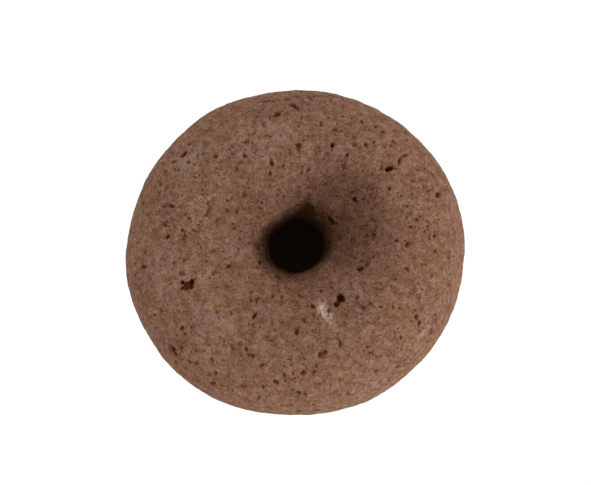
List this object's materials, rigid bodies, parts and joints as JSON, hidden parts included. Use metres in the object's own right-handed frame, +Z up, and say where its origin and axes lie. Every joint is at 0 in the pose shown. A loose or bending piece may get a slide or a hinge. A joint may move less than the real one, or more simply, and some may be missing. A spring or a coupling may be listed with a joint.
{
  "type": "donut stone",
  "caption": "Round stone ring of brown vesicular lava, lying flat, with a central bore that narrows halfway and a shallow dish worn beside its upper mouth.",
  "frame": {"origin": "centre of the box round the stone in plan, on the surface it lies on", "axes": "+Z up along the bore, out of the worn dish's side; +X along the stone's longer plan width; +Y away from the viewer, towards the dish's side of the bore"},
  "size_m": [0.1198, 0.1148, 0.054],
  "materials": {
    "stone": "matt, pecked and ground vesicular lava, brown, with dark pores, mauve and tan grain and a few pale mineral spots"
  },
  "bodies": {
    "root": {"stone_ring": "stone"}
  },
  "joints": []
}
